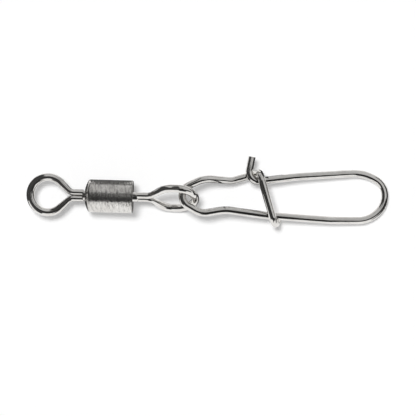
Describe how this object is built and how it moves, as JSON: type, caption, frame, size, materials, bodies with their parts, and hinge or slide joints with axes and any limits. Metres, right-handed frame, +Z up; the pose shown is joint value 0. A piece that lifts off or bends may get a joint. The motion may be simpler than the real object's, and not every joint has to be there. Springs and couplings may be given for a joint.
{
  "type": "fishing snap swivel",
  "caption": "Rolling swivel with a small metal barrel, a wire eye turning in each end, and a hooked wire snap linked through one eye.",
  "frame": {"origin": "centre of the line eye's ring, where the barrel's axis starts", "axes": "+X from the line eye to the snap, along the table the swivel lies on, +Z up from the table; the barrel's axis rises 1.6 degrees towards +X, because the barrel lies on its domed rim and on the snap eye"},
  "size_m": [0.0453, 0.0088, 0.0047],
  "materials": {
    "barrel_metal": "satin dark nickel plating over brass",
    "eye_wire": "smooth drawn stainless wire",
    "snap_steel": "smooth drawn stainless spring wire"
  },
  "bodies": {
    "barrel": {"barrel_shell": "barrel_metal", "barrel_end_cap": "barrel_metal"},
    "line_eye": {"line_eye": "eye_wire"},
    "snap_eye": {"snap_eye": "eye_wire"},
    "snap": {"snap_wire": "snap_steel"}
  },
  "joints": [
    {"name": "line_eye_spin", "type": "hinge", "parent": "barrel", "child": "line_eye", "pos_m": [0, 0, 0], "axis": [0.9996, 0, 0.0287], "continuous": true},
    {"name": "snap_eye_spin", "type": "hinge", "parent": "barrel", "child": "snap_eye", "pos_m": [0, 0, 0], "axis": [0.9996, 0, 0.0287], "continuous": true},
    {"name": "snap_swing", "type": "hinge", "parent": "snap_eye", "child": "snap", "pos_m": [0.0184, 0, 0.00053], "axis": [-0.0241, 0.5446, 0.8383], "range_deg": [-150, 22]}
  ]
}
